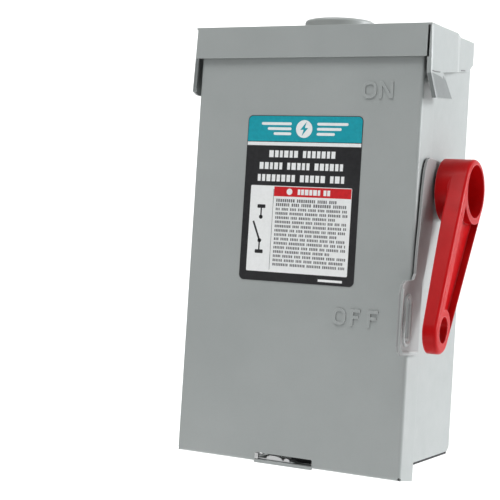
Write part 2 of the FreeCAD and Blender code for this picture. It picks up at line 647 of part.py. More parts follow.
def switch_base():
    """Moulded base: block, bearing cheeks for the rotor and barriers between the poles."""
    block = box((-50.0, 50.0), (BASE_FRONT, BACK_INSIDE), (138.0, 264.0))
    cheek = side_plate([(33.0, 190.0), (38.0, 186.0), (BASE_FRONT, 180.0), (BASE_FRONT, 222.0),
                        (38.0, 216.0), (33.0, 212.0)], CHEEK_X)
    barriers = [box((-1.5, 1.5), (30.0, BASE_FRONT), (224.0, 264.0)),
                box((-1.5, 1.5), (30.0, BASE_FRONT), (138.0, 178.0))]
    for side in (CHEEK_X, (-CHEEK_X[1], -CHEEK_X[0])):
        barriers.append(box(side, (50.0, BASE_FRONT), (226.0, 264.0)))
        barriers.append(box(side, (50.0, BASE_FRONT), (138.0, 176.0)))
    base = join([block] + both_sides(cheek) + barriers)
    base = base.cut(rod_x(JOURNAL_R + RUNNING, (-52, 52), *SHAFT))
    for x, h in base_screw_places():
        base = base.cut(rod_y(2.1, x, (BASE_FRONT - 1, BACK_INSIDE + 1), h))
    return base


def jaw(x, low, high, web):
    """Two spring leaves either side of a pole's blade, joined by a web."""
    leaves = [box((x + s * JAW_GAP if s > 0 else x - JAW_GAP - JAW_T,
                   x + JAW_GAP + JAW_T if s > 0 else x - JAW_GAP),
                  (38.0, BASE_FRONT), (low, high)) for s in (1, -1)]
    return leaves + [box((x - JAW_GAP - JAW_T, x + JAW_GAP + JAW_T), (38.0, BASE_FRONT), web)]


def line_jaws():
    return [join(jaw(x, 222.0, 246.0, (244.5, 246.0))) for x in POLES]


def load_jaws():
    half = JAW_GAP + JAW_T
    return [join(jaw(x, 156.0, 180.0, (156.0, 157.5))
                 + [box((x - half, x + half), (BASE_FRONT - JAW_T, BASE_FRONT), (132.0, 157.0))])
            for x in POLES]


def lug(x, low, high):
    """Set-screw lug block with a vertical wire hole."""
    block = box((x - LUG_HALF, x + LUG_HALF), (66.0, BASE_FRONT), (low, high))
    block = block.cut(rod_z(LUG_BORE_R, x, LUG_DEPTH, (low - 1, high + 1)))
    return block.cut(rod_y(3.0, x, (65.0, 71.2), (low + high) / 2))


def lug_screw(x, height, front=62.0, rear=71.0):
    screw = rod_y(3.0, x, (front, rear), height)
    return screw.cut(box((x - 3.5, x + 3.5), (front - 1, front + 1.4), (height - 0.5, height + 0.5)))


def fuse_tubes():
    low = FUSE_LOW + FERRULE_LENGTH
    high = FUSE_LOW + FUSE_LENGTH - FERRULE_LENGTH
    return [rod_z(TUBE_R, x, FUSE_DEPTH, (low, high)) for x in POLES]


def fuse_ferrules():
    caps = []
    for x in POLES:
        for low in (FUSE_LOW, FUSE_LOW + FUSE_LENGTH - FERRULE_LENGTH):
            caps.append(rod_z(FERRULE_R, x, FUSE_DEPTH, (low, low + FERRULE_LENGTH)))
    return caps


def fuse_clip(x, low, strap):
    """Spring clip round a ferrule, open to the front, on a stem from the base."""
    ring = rod_z(FERRULE_R + 1.3, x, FUSE_DEPTH, (low, low + 9.0))
    ring = ring.cut(rod_z(FERRULE_R + 0.02, x, FUSE_DEPTH, (low - 1, low + 10)))
    ring = ring.cut(box((x - 5.4, x + 5.4), (FUSE_DEPTH - 12, FUSE_DEPTH - 2), (low - 1, low + 10)))
    stem = box((x - 3.0, x + 3.0), (FUSE_DEPTH + FERRULE_R + 0.3, BASE_FRONT), (low, low + 9.0))
    bar = box((x - 3.3, x + 3.3), (BASE_FRONT - 3.5, BASE_FRONT), strap)
    return join([ring, stem, bar])


def fuse_base():
    block = box((-46.0, 46.0), (BASE_FRONT, BACK_INSIDE), (52.0, 136.0))
    barrier = box((-1.5, 1.5), (48.0, BASE_FRONT), (52.0, 136.0))
    base = join([block, barrier])
    for x, h in fuse_base_screw_places():
        base = base.cut(rod_y(2.1, x, (BASE_FRONT - 1, BACK_INSIDE + 1), h))
    return base


def line_shield():
    """Clear guard across the live line terminals."""
    plate = box((-51.4, 51.4), (17.5, 18.9), (232.0, 268.0))
    leg = box((50.0, 51.4), (17.5, 70.0), (240.0, 262.0))
    return join([plate] + both_sides(leg))


# ---------------------------------------------------------------- neutral and ground
def neutral_screw_heights():
    return [96.0 + 12.0 * k for k in range(4)]


def neutral_insulator():
    return box((-77.5, -62.5), (92.0, BACK_INSIDE), (84.0, 146.0))


def neutral_bar():
    bar = box((-75.0, -65.0), (82.0, 92.0), (88.0, 142.0))
    for h in neutral_screw_heights():
        bar = bar.cut(rod_x(2.7, (-80, -60), 88.4, h)).cut(rod_y(2.2, -70.0, (80.0, 85.8), h))
    return bar


def neutral_screws():
    return [lug_small_screw(-70.0, h, 79.0, 85.6) for h in neutral_screw_heights()]


def lug_small_screw(x, height, front, rear):
    screw = rod_y(2.2, x, (front, rear), height)
    return screw.cut(box((x - 3, x + 3), (front - 1, front + 1.0), (height - 0.4, height + 0.4)))


def ground_lug():
    block = box((62.0, 75.0), (94.0, BACK_INSIDE), (62.0, 77.0))
    return block.cut(rod_z(3.4, 68.5, 101.6, (60, 80))).cut(rod_y(3.0, 68.5, (93.0, 98.4), 69.5))


def build():
    save("enclosure_wrapper", enclosure_wrapper())
    save("hood", hood())
    save("bottom_endwall", bottom_endwall())
    save("latch_keeper", latch_keeper())
    save("knockouts", *knockouts())
    save("hub_cap", hub_cap())
    save("hub_gasket", hub_gasket())
    save("hub_clamp_bar", hub_clamp_bar())
    save("hub_clamp_screw", hub_clamp_screw())
    save("cover", cover())
    save("cover_label", cover_label())
    save("wiring_label", wiring_label())
    save("interlock_catch", interlock_catch())
    save("hinge_pins", *hinge_pins())
    save("latch_slide", latch_slide())
    save("latch_rivets", *latch_rivets())
    save("handle", handle())
    save("handle_shaft", handle_shaft())
    save("shaft_clip", shaft_clip())
    save("shaft_bush", shaft_bush())
    save("bush_nut", bush_nut())
    save("lock_bracket", lock_bracket())
    save("bracket_rivets", *bracket_rivets())
    save("interlock_arm", interlock_arm())
    save("interlock_hook", interlock_hook())
    save("drive_spring", drive_spring())
    save("rotor", rotor())
    save("switch_blades", *pole_blades())
    save("switch_base", switch_base())
    save("base_screws", *screws_into_back(base_screw_places()))
    save("line_jaws", *line_jaws())
    save("load_jaws", *load_jaws())
    save("line_lugs", *[lug(x, *LINE_LUGS) for x in POLES])
    save("line_lug_screws", *[lug_screw(x, sum(LINE_LUGS) / 2) for x in POLES])
    save("load_lugs", *[lug(x, *LOAD_LUGS) for x in POLES])
    save("load_lug_screws", *[lug_screw(x, sum(LOAD_LUGS) / 2) for x in POLES])
    save("fuse_base", fuse_base())
    save("fuse_base_screws", *screws_into_back(fuse_base_screw_places()))
    save("upper_fuse_clips", *[fuse_clip(x, 118.0, (118.0, 131.9)) for x in POLES])
    save("lower_fuse_clips", *[fuse_clip(x, 80.0, (69.1, 89.0)) for x in POLES])
    save("fuse_tubes", *fuse_tubes())
    save("fuse_ferrules", *fuse_ferrules())
    save("line_shield", line_shield())
    save("neutral_insulator", neutral_insulator())
    save("neutral_bar", neutral_bar())
    save("neutral_screws", *neutral_screws())
    save("ground_lug", ground_lug())
    save("ground_lug_screw", lug_screw(68.5, 69.5, 90.0, 98.2))


build()
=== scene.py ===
"""Looks of the outdoor AC disconnect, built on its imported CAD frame.

Places are x to the right of the middle, depth back from the cover's front face and
height up from the cover's bottom edge, all in millimetres; at() turns them into the frame's.
"""
import json
import math
import random

import bmesh
import bpy
from mathutils import Matrix, Vector


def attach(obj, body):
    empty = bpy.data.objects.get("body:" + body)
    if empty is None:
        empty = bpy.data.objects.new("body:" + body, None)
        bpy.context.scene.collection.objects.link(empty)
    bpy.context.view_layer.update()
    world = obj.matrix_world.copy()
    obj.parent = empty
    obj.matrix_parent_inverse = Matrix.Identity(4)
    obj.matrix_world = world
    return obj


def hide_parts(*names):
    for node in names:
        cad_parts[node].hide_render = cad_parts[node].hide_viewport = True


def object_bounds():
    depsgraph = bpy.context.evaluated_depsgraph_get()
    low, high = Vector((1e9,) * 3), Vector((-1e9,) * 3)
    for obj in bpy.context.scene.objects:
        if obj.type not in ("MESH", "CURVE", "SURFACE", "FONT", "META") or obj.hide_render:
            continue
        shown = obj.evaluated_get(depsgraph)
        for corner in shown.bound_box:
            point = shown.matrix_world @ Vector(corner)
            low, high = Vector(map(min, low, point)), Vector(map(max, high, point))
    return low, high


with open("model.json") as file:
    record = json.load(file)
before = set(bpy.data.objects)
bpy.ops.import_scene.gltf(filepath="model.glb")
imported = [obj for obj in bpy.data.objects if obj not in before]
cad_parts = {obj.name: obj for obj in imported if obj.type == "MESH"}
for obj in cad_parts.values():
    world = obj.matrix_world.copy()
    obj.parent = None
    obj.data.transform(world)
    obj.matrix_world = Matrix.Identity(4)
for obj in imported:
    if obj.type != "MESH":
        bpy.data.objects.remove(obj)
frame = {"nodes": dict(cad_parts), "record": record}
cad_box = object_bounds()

MM = 0.001
DEPTH = 108.6                      # wall to cover face
MID_HEIGHT = 160.0                 # height of the origin above the cover's bottom edge
POLES = (-22.0, 22.0)              # x of the two switch poles and fuses
SHAFT = (45.0, 201.0)              # depth and height of the handle's shaft
FUSE_DEPTH = 66.0
BOX_BOTTOM = 7.2                   # height of the floor's underside
BACK_INSIDE = DEPTH - 1.5          # depth of the back wall's inner face
BRACKET_FACE = 90.2                # x of the lock bracket's outer face
INK_STEP = 0.03                    # thickness of one layer of print
nodes = frame["nodes"]


def at(x, depth, height):
    return Vector((x, depth - DEPTH, height - MID_HEIGHT)) * MM


# ---------------------------------------------------------------- shader helpers
class Shader:
    """A procedural material and short ways to add nodes to it."""

    def __init__(self, name, color, roughness=0.45, metallic=0.0, **sockets):
        self.material = bpy.data.materials.new(name)
        self.material.use_nodes = True
        self.material.diffuse_color = (*color, 1.0)
        self.tree = self.material.node_tree
        self.bsdf = self.tree.nodes["Principled BSDF"]
        self.set("Base Color", (*color, 1.0))
        self.set("Roughness", roughness)
        self.set("Metallic", metallic)
        for socket, value in sockets.items():
            self.set(socket.replace("_", " "), value)
        self.where = self.node("ShaderNodeTexCoord").outputs["Object"]

    def node(self, kind, **settings):
        made = self.tree.nodes.new(kind)
        for key, value in settings.items():
            setattr(made, key, value)
        return made

    def link(self, source, target):
        self.tree.links.new(source, target)

    def set(self, socket, value):
        self.bsdf.inputs[socket].default_value = value

    def stretched(self, scale):
        mapping = self.node("ShaderNodeMapping")
        mapping.inputs["Scale"].default_value = scale
        self.link(self.where, mapping.inputs["Vector"])
        return mapping.outputs["Vector"]

    def noise(self, scale, detail=3.0, roughness=0.5, where=None, distortion=0.0):
        made = self.node("ShaderNodeTexNoise")
        made.inputs["Scale"].default_value = scale
        made.inputs["Detail"].default_value = detail
        made.inputs["Roughness"].default_value = roughness
        made.inputs["Distortion"].default_value = distortion
        self.link(where or self.where, made.inputs["Vector"])
        return made.outputs["Fac"]

    def ramp(self, source, low, high, start=0.35, end=0.65):
        made = self.node("ShaderNodeValToRGB")
        for stop, position, color in zip(made.color_ramp.elements, (start, end), (low, high)):
            stop.position = position
            stop.color = (*color, 1.0)
        self.link(source, made.inputs["Fac"])
        return made.outputs["Color"]

    def grey(self, source, low, high, start=0.3, end=0.7):
        return self.ramp(source, (low,) * 3, (high,) * 3, start, end)

    def mix(self, factor, first, second, blend="MIX"):
        made = self.node("ShaderNodeMix", data_type="RGBA", blend_type=blend)
        for index, value in ((0, factor), (6, first), (7, second)):
            if hasattr(value, "is_output"):
                self.link(value, made.inputs[index])
            elif index == 0:
                made.inputs[index].default_value = value
            else:
                made.inputs[index].default_value = (*value, 1.0)
        return made.outputs[2]

    def bump(self, height, strength, distance):
        made = self.node("ShaderNodeBump")
        made.inputs["Strength"].default_value = strength
        made.inputs["Distance"].default_value = distance
        self.link(height, made.inputs["Height"])
        normals = self.bsdf.inputs["Normal"]
        if normals.is_linked:
            self.link(normals.links[0].from_socket, made.inputs["Normal"])
        self.link(made.outputs["Normal"], normals)

    def edges(self, radius):
        """1 on convex edges and 0 on flat faces, from the rounded normal."""
        bevel = self.node("ShaderNodeBevel", samples=4)
        bevel.inputs["Radius"].default_value = radius
        geometry = self.node("ShaderNodeNewGeometry")
        dot = self.node("ShaderNodeVectorMath", operation="DOT_PRODUCT")
        self.link(bevel.outputs["Normal"], dot.inputs[0])
        self.link(geometry.outputs["Normal"], dot.inputs[1])
        return self.grey(dot.outputs["Value"], 1.0, 0.0, 0.86, 0.985)

    def painted_crevice_shade(self, distance, dark):
        """Painted shade factor: dark where faces close in on each other, 1 in the open."""
        shade = self.node("ShaderNodeAmbientOcclusion", samples=6)
        shade.inputs["Distance"].default_value = distance
        return self.grey(shade.outputs["AO"], dark, 1.0, 0.12, 0.62)

    def color(self, source):
        self.link(source, self.bsdf.inputs["Base Color"])

    def rough(self, source):
        self.link(source, self.bsdf.inputs["Roughness"])


# ---------------------------------------------------------------- materials
def enamel(name, light, dark, edge):
    """Baked grey enamel: faint cloudiness, orange peel, a little dust, edges lighter where the paint is thin
    and as a painted highlight, and painted shade in its crevices.
    """
    s = Shader(name, light, 0.4, Coat_Weight=0.12, Coat_Roughness=0.25)
    clouds = s.ramp(s.noise(14.0, 4.0, 0.6), dark, light, 0.25, 0.75)
    specks = s.grey(s.noise(2600.0, 2.0, 0.5), 0.93, 1.0, 0.32, 0.42)
    painted = s.mix(1.0, clouds, specks, "MULTIPLY")
    # lighter edges: paint worn thin there, and a painted highlight
    rubbed_and_highlit = s.mix(s.edges(0.0009), painted, edge)
    # painted shade: the enamel is darkened in corners and gaps, where shade falls
    s.color(s.mix(1.0, rubbed_and_highlit, s.painted_crevice_shade(0.009, 0.42), "MULTIPLY"))
    s.rough(s.grey(s.noise(60.0, 5.0, 0.6), 0.34, 0.5, 0.3, 0.7))
    s.bump(s.noise(520.0, 2.0, 0.4), 0.16, 0.00025)
    s.bump(s.noise(9.0, 2.0, 0.4), 0.25, 0.0012)
    return s.material


def moulded(name, color, dark, roughness, grain=1500.0, coat=0.0, edge=None):
    """Moulded plastic with a fine grain, faint flow marks and rubbed edges; an edge colour, where given,
    paints a highlight along them.
    """
    s = Shader(name, color, roughness, Coat_Weight=coat, Coat_Roughness=0.12, Specular_IOR_Level=0.14)
    flow = s.ramp(s.noise(30.0, 5.0, 0.62, s.stretched((1.0, 1.0, 0.35)), 0.6), dark, color, 0.3, 0.62)
    # lighter edges: rubbed, and with a given edge colour a painted highlight
    rubbed_and_highlit = edge or tuple(min(1.0, c * 1.25 + 0.03) for c in color)
    s.color(s.mix(s.edges(0.0012), flow, rubbed_and_highlit))
    s.rough(s.grey(s.noise(90.0, 6.0, 0.6), roughness - 0.07, roughness + 0.12))
    s.bump(s.noise(grain, 3.0, 0.6), 0.22, 0.00012)
    return s.material


def plated(name, color, roughness, brushed=(1.0, 1.0, 1.0), spots=0.75, metallic=1.0):
    """Plated or bare metal: long fine scratches, cloudy plating, dull spots."""
    s = Shader(name, color, roughness, metallic)
    dull = tuple(c * spots for c in color)
    s.color(s.ramp(s.noise(110.0, 6.0, 0.68), dull, color, 0.28, 0.6))
    scratches = s.noise(900.0, 4.0, 0.7, s.stretched(brushed))
    s.rough(s.grey(scratches, roughness - 0.08, roughness + 0.16))
    s.bump(scratches, 0.2, 0.00008)
    s.bump(s.noise(260.0, 3.0, 0.5), 0.12, 0.0001)
    return s.material


def printed(name, color, paper=0.9, roughness=0.34):
    """Ink on vinyl: nearly even, with slight mottling and a soft sheen."""
    s = Shader(name, color, roughness, Coat_Weight=0.25, Coat_Roughness=0.2)
    thin = tuple(c * paper for c in color)
    s.color(s.ramp(s.noise(420.0, 4.0, 0.7), thin, color, 0.35, 0.6))
    s.rough(s.grey(s.noise(45.0, 4.0, 0.6), roughness - 0.05, roughness + 0.1))
    s.bump(s.noise(850.0, 2.0, 0.5), 0.08, 0.00008)
    return s.material


def fibre(name, color):
    s = Shader(name, color, 0.72)
    strands = s.noise(700.0, 5.0, 0.7, s.stretched((1.0, 1.0, 0.12)))
    s.color(s.ramp(strands, tuple(c * 0.82 for c in color), color, 0.35, 0.65))
    s.rough(s.grey(strands, 0.62, 0.82))
    s.bump(strands, 0.25, 0.0001)
    return s.material


def clear_sheet(name):
    s = Shader(name, (0.93, 0.96, 0.97), 0.08, IOR=1.49, Transmission_Weight=0.92)
    s.rough(s.grey(s.noise(180.0, 5.0, 0.7), 0.05, 0.2, 0.4, 0.75))
    s.color(s.ramp(s.noise(40.0, 2.0), (0.9, 0.94, 0.95), (0.96, 0.98, 0.98)))
    s.bump(s.noise(22.0, 2.0), 0.1, 0.0004)
    return s.material


def rubber(name):
    s = Shader(name, (0.03, 0.03, 0.032), 0.8)
    s.color(s.ramp(s.noise(300.0, 5.0, 0.7), (0.018, 0.018, 0.02), (0.05, 0.05, 0.05)))
    s.rough(s.grey(s.noise(200.0, 4.0), 0.7, 0.92))
    s.bump(s.noise(1400.0, 3.0, 0.6), 0.3, 0.00015)
    return s.material


def backdrop_paper(name):
    s = Shader(name, (0.93, 0.93, 0.93), 0.9)
    s.color(s.ramp(s.noise(3.0, 2.0), (0.92, 0.92, 0.92), (0.94, 0.94, 0.94)))
    s.bump(s.noise(150.0, 3.0), 0.05, 0.0004)
    return s.material


ENAMEL = enamel("grey_enamel", (0.405, 0.430, 0.423), (0.365, 0.390, 0.384), (0.48, 0.505, 0.497))
CASTING = enamel("painted_casting", (0.42, 0.44, 0.43), (0.37, 0.39, 0.38), (0.5, 0.51, 0.5))
# near-black enamel: painted shade for the ear's crease and joggle lines
CREASE_SHADE = enamel("crease_painted_shade", (0.15, 0.155, 0.155), (0.11, 0.115, 0.115), (0.2, 0.2, 0.2))
# painted shade: dark enamel for the hood's turned tab and left ear lip
TAB_PAINTED_SHADE = enamel("tab_painted_shade", (0.20, 0.217, 0.215), (0.175, 0.19, 0.188), (0.44, 0.46, 0.455))
# lock bracket enamel: darker than the grey enamel, with much lighter edges painted as highlights
BRACKET = enamel("bracket_enamel", (0.31, 0.318, 0.315), (0.26, 0.268, 0.266), (0.55, 0.55, 0.55))
# the light pink edge colour is a painted highlight along the red rims
RED = moulded("red_moulding", (0.53, 0.004, 0.006), (0.38, 0.002, 0.003), 0.34, 1300.0, 0.03,
               (0.72, 0.11, 0.12))
BLACK = moulded("black_moulding", (0.035, 0.036, 0.038), (0.02, 0.02, 0.022), 0.52)
# near-white zinc: a painted highlight for the latch leaf
GLINT_ZINC = plated("zinc_painted_highlight", (1.0, 1.0, 1.0), 0.5, (1.0, 1.0, 0.1), 0.94, 0.1)
ZINC = plated("zinc_plate", (0.72, 0.73, 0.72), 0.3, (1.0, 1.0, 0.06))
SPRING = plated("spring_wire", (0.36, 0.36, 0.37), 0.35)
COPPER = plated("copper_strip", (0.86, 0.44, 0.27), 0.28, (1.0, 0.05, 1.0), 0.6)
TINNED = plated("tinned_aluminium", (0.78, 0.79, 0.8), 0.36, (1.0, 1.0, 0.08), 0.85)
FUSE_BRASS = plated("fuse_brass", (0.80, 0.62, 0.32), 0.26, (0.05, 1.0, 1.0), 0.7)
FIBRE = fibre("fuse_fibre", (0.66, 0.57, 0.40))
CLEAR = clear_sheet("clear_guard_sheet")
RUBBER = rubber("gasket_rubber")
INK_BLACK = printed("ink_black", (0.022, 0.022, 0.024), 0.7)
INK_TEAL = printed("ink_teal", (0.006, 0.375, 0.46), 0.88)
INK_WHITE = printed("ink_white", (0.95, 0.965, 0.96), 0.96)
INK_RED = printed("ink_red", (0.70, 0.014, 0.02), 0.85)
INK_GREY = printed("ink_grey", (0.16, 0.16, 0.165), 0.8)
INK_BLUE = printed("ink_blue", (0.03, 0.09, 0.26), 0.85)
PAPER = printed("label_paper", (0.80, 0.80, 0.76), 0.95, 0.6)

FINISH = {
    "painted_steel": ENAMEL, "red_moulding": RED, "zinc_steel": ZINC, "spring_steel": SPRING,
    "copper": COPPER, "lug_aluminium": TINNED, "black_moulding": BLACK, "fuse_tube": FIBRE,
    "fuse_cap": FUSE_BRASS, "clear_guard": CLEAR, "gasket_rubber": RUBBER, "print_front": INK_BLACK,
    "print_inside": PAPER, "cast_zinc": CASTING,
}


def dress_nodes():
    """Gives every CAD node its finish, and a small bevel so that its edges catch the light."""
    bevels = {"painted_steel": 0.35, "red_moulding": 0.5, "black_moulding": 0.5, "copper": 0.2,
              "lug_aluminium": 0.5, "zinc_steel": 0.2, "fuse_cap": 0.5, "cast_zinc": 0.4}
    slot_of = {entry["node"]: entry["material_slot"] for entry in frame["record"]["subparts"]}
    for name, node in nodes.items():
        slot = slot_of.get(name, name)
        node.data.materials.clear()
        node.data.materials.append(BRACKET if name == "lock_bracket" else FINISH[slot])
        if slot in bevels:
            bevel = node.modifiers.new("edge", "BEVEL")
            bevel.width = bevels[slot] * MM
            bevel.segments = 2
            bevel.limit_method = "ANGLE"
            bevel.angle_limit = math.radians(40)
            bevel.harden_normals = False
    paint_shade_on_ear_edges()


def paint_shade_on_ear_edges():
    """Painted shade: darker enamel on the hood's bent-out right tab and its left ear's front lip, which turn
    away from the light.
    """
    hood = nodes["hood"].data
    hood.materials.append(TAB_PAINTED_SHADE)
    for face in hood.polygons:
        middle = (Vector(face.center) / MM) + Vector((0.0, DEPTH, MID_HEIGHT))
        on_tab = middle.x > 91.0 and middle.z < 278.0 and middle.y < 30.0
        on_lip = middle.x < -87.6 and middle.z < 289.0 and middle.y < -0.6
        if on_tab or on_lip:
            face.material_index = 1


# ---------------------------------------------------------------- mesh helpers
def finish_piece(name, mesh_data, material, body, smooth=None):
    """Turns a bmesh into a named piece that rides on a body."""
    mesh = bpy.data.meshes.new(name)
    bmesh.ops.recalc_face_normals(mesh_data, faces=mesh_data.faces)
    mesh_data.to_mesh(mesh)
    mesh_data.free()
    piece = bpy.data.objects.new(name, mesh)
    bpy.context.collection.objects.link(piece)
    mesh.materials.append(material)
    if smooth is not None:
        mesh.shade_smooth()
        mesh.set_sharp_from_angle(angle=math.radians(smooth))
    if body:
        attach(piece, body)
    return piece


def flat_shape(bm, outline, depth, thick):
    """Adds a thin plate facing the viewer: outline in (x, height), its face at depth."""
    front = [bm.verts.new(at(x, depth, h)) for x, h in outline]
    back = [bm.verts.new(at(x, depth + thick, h)) for x, h in outline]
    bm.faces.new(front)
    bm.faces.new(list(reversed(back)))
    for i in range(len(outline)):
        j = (i + 1) % len(outline)
        bm.faces.new([front[i], back[i], back[j], front[j]])


def rounded(x, height, r, steps=5):
    """Outline of a rectangle with round corners."""
    points = []
    for cx, cz, start in ((x[1] - r, height[1] - r, 0), (x[0] + r, height[1] - r, 90),
                          (x[0] + r, height[0] + r, 180), (x[1] - r, height[0] + r, 270)):
        for k in range(steps + 1):
            a = math.radians(start + 90 * k / steps)
            points.append((cx + r * math.cos(a), cz + r * math.sin(a)))
    return points


def circle(x, height, r, steps=28):
    return [(x + r * math.cos(2 * math.pi * k / steps), height + r * math.sin(2 * math.pi * k / steps))
            for k in range(steps)]


def stroke(start, end, width):
    """Outline of a straight stroke between two (x, height) points."""
    dx, dz = end[0] - start[0], end[1] - start[1]
    length = math.hypot(dx, dz)
    nx, nz = -dz / length * width / 2, dx / length * width / 2
    return [(start[0] + nx, start[1] + nz), (end[0] + nx, end[1] + nz),
            (end[0] - nx, end[1] - nz), (start[0] - nx, start[1] - nz)]


def blocks(x, low, cap, rng, wide=0.62, gap=0.34, words=(3, 8)):
    """A line of text stand-ins: plain blocks in word groups, no letters."""
    outlines = []
    here = x[0]
    left_in_word = rng.randint(*words)
    while here < x[1] - cap * wide:
        width = cap * rng.uniform(wide * 0.75, wide * 1.2)
        outlines.append([(here, low), (here + width, low), (here + width, low + cap), (here, low + cap)])
        here += width + cap * gap * 0.6
        left_in_word -= 1
        if left_in_word == 0:
            here += cap * gap * 1.6
            left_in_word = rng.randint(*words)
    return outlines


def ink(name, outlines, depth, material, body="cover", thick=INK_STEP):
    """Flat shapes facing the viewer, as one piece."""
    bm = bmesh.new()
    for outline in outlines:
        flat_shape(bm, outline, depth, thick)
    return finish_piece(name, bm, material, body)


def turned_rings(bm, profile, centre, axis, steps):
    """Rings of vertices from a profile of (radius, distance along axis) in millimetres."""
    along = Vector(axis).normalized()
    side = along.orthogonal().normalized()
    other = along.cross(side)
    rings = []
    for r, d in profile:
        ring = []
        for k in range(steps):
            a = 2 * math.pi * k / steps
            offset = side * math.cos(a) * r + other * math.sin(a) * r + along * d
            ring.append(bm.verts.new(centre + offset * MM))
        rings.append(ring)
    return rings


def bridge(bm, rings):
    """Joins each ring of vertices to the next with quads."""
    for low, high in zip(rings, rings[1:]):
        for k in range(len(low)):
            j = (k + 1) % len(low)
            bm.faces.new([low[k], low[j], high[j], high[k]])


def lathe(name, profile, centre, axis, material, body, steps=40):
    """Solid turned piece with flat ends."""
    bm = bmesh.new()
    rings = turned_rings(bm, profile, centre, axis, steps)
    bridge(bm, rings)
    bm.faces.new(list(reversed(rings[0])))
    bm.faces.new(rings[-1])
    return finish_piece(name, bm, material, body, smooth=35)


def annulus(name, profile, centre, axis, material, body="enclosure", steps=48):
    """Turned ring, closed underneath."""
    bm = bmesh.new()
    rings = turned_rings(bm, profile, centre, axis, steps)
    bridge(bm, rings + rings[:1])
    return finish_piece(name, bm, material, body, smooth=35)


# ---------------------------------------------------------------- face label
def face_label():
    """Generic label in the layout of a rating plate: teal band, dark field, white panel."""
    rng = random.Random(7)
    left, right, high = -45.0, 45.0, 248.1
    plate_front = -0.3
    first, second = plate_front - INK_STEP, plate_front - 2 * INK_STEP
    third = second - INK_STEP
    band_low, corner = 229.4, 3.3
    band = rounded((left + 0.4, right - 0.4), (band_low, high - 0.4), corner)
    band = [p for p in band if p[1] > band_low + corner + 0.5]
    band += [(left + 0.4, band_low), (right - 0.4, band_low)]
    ink("label_band", [band], first, INK_TEAL)
    white = [rounded((-39.5, 39.7), (135.4, 197.4), 0.8),
             [(left + 0.4, 226.4), (right - 0.4, 226.4), (right - 0.4, 228.9), (left + 0.4, 228.9)],
             [(17.7, 130.9), (36.2, 130.9), (36.2, 132.6), (17.7, 132.6)]]
    ink("label_panels", white, first, INK_WHITE)
    lines = []
    for x, base in (((-26.5, 29.0), 217.9), ((-33.7, 34.7), 209.2), ((-34.6, 35.9), 200.5)):
        lines += blocks(x, base, 5.0, rng, 0.6, 0.36, (4, 8))
    ink("label_titles", lines, first, INK_WHITE)
    disc = circle(0.0, 238.6, 6.4)
    ink("label_badge", [disc], second, INK_WHITE)
    bolt = [(1.6, 243.6), (-3.0, 238.0), (-0.4, 238.0), (-1.6, 233.6), (3.0, 239.3), (0.5, 239.3)]
    ink("label_badge_bolt", [bolt], third, INK_TEAL)
    wings = []
    for side in (-1, 1):
        for k in range(3):
            ends = sorted((side * 10.0, side * (34.0 - 5.0 * k)))
            h = 242.2 - 3.6 * k
            wings.append(rounded(ends, (h - 1.0, h + 1.0), 0.9, 3))
    ink("label_badge_wings", wings, second, INK_WHITE)
    red_bar = [(-20.7, 189.9), (39.4, 189.9), (39.4, 196.9), (-20.7, 196.9)]
    ink("label_red_bar", [red_bar], second, INK_RED)
    heading = blocks((-2.0, 24.0), 191.4, 3.9, rng, 0.62, 0.3, (6, 6))
    heading.append(circle(-8.5, 193.4, 2.3, 16))
    ink("label_red_bar_marks", heading, third, INK_WHITE)
    small_print = []
    line_count, top_line, line_step = 16, 185.9, 3.05
    for k in range(line_count):
        end = 37.6 if k % 4 else 30.0 - 3.0 * rng.random()
        cap = 2.2 if k < 2 else 1.85
        small_print += blocks((-18.6, end), top_line - line_step * k, cap, rng, 0.5, 0.4, (3, 9))
    ink("label_small_print", small_print, second, INK_GREY)
    divider = stroke((-21.0, 137.0), (-21.0, 195.0), 0.35)
    ink("label_divider", [divider], second, INK_GREY)
    switch_symbol(second)


def switch_symbol(depth):
    """Plain circuit symbol of an open switch in the label's left column."""
    centre = -30.2
    outlines = [circle(centre, 174.6, 1.5, 20), circle(centre, 157.6, 1.5, 20),
                stroke((centre, 174.6), (centre, 181.4), 1.1), stroke((centre, 157.6), (centre, 150.8), 1.1),
                stroke((centre, 157.6), (centre - 5.8, 171.4), 1.4),
                rounded((centre - 3.2, centre + 3.2), (181.0, 183.6), 0.5, 3),
                rounded((centre - 3.2, centre + 3.2), (148.4, 151.0), 0.5, 3)]
    ink("label_switch_symbol", outlines, depth, INK_BLACK)


def inside_label():
    """Wiring diagram sheet on the inside of the cover, again without lettering."""
    rng = random.Random(19)
    depth = 1.75
    head = rounded((-37.0, 37.0), (190.0, 197.0), 0.8)
    ink("inside_header", [head], depth, INK_BLUE)
    lines = []
    for k in range(9):
        lines += blocks((-36.0, -3.0 - 6.0 * rng.random()), 184.0 - 4.2 * k, 2.0, rng, 0.5, 0.4, (3, 8))
    for k in range(4):
        lines += blocks((-36.0, 34.0 - 10.0 * rng.random()), 139.0 - 4.2 * k, 2.0, rng, 0.5, 0.4, (3, 8))
    ink("inside_notes", lines, depth, INK_GREY)
    diagram = []
    for x in (9.0, 25.0):
        diagram += [stroke((x, 184.0), (x, 172.0), 0.9), circle(x, 171.5, 1.4, 16),
                    stroke((x, 164.0), (x - 4.6, 170.4), 0.9), circle(x, 163.5, 1.4, 16),
                    stroke((x, 163.0), (x, 156.0), 0.9), rounded((x - 2.4, x + 2.4), (146.5, 156.0), 0.6, 3)]
    diagram += [stroke((4.0, 186.4), (34.0, 186.4), 0.6)]
    ink("inside_diagram", diagram, depth, INK_BLACK)


